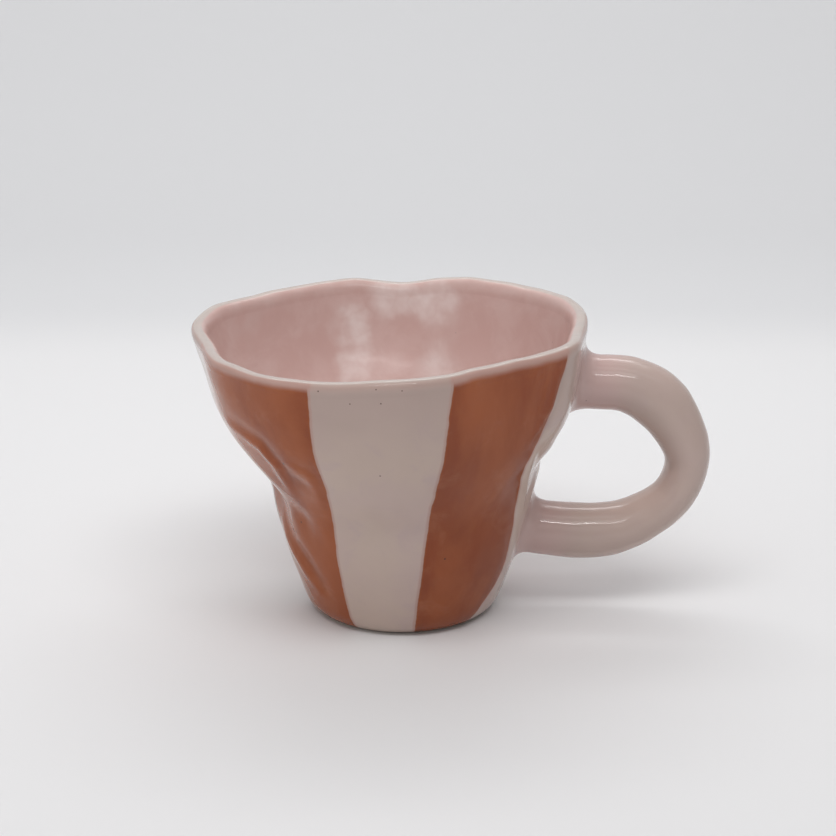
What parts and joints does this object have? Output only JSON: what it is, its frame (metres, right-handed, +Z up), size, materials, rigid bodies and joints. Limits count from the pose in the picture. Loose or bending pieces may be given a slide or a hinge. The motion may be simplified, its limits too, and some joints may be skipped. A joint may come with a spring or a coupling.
{
  "type": "ceramic mug",
  "caption": "Hand-built glazed ceramic mug with a tapered, pinched body, a rolled wavy lip, vertical stripes and a thick round coil handle.",
  "frame": {"origin": "centre of the flat foot, on the surface that the mug stands on", "axes": "+Z up out of the mouth, +X from the mug's axis towards the handle, +Y to the left when looking along +X"},
  "size_m": [0.1431, 0.1099, 0.0826],
  "materials": {
    "striped_glaze": "glossy",
    "cream_glaze": "glossy",
    "pink_glaze": "glossy",
    "bare_clay": "matte"
  },
  "bodies": {
    "root": {"wall": "striped_glaze", "lip_coil": "cream_glaze", "floor_slab": "bare_clay", "floor_seam_coil": "pink_glaze", "handle": "cream_glaze", "upper_collar": "cream_glaze", "lower_collar": "cream_glaze"}
  },
  "joints": []
}
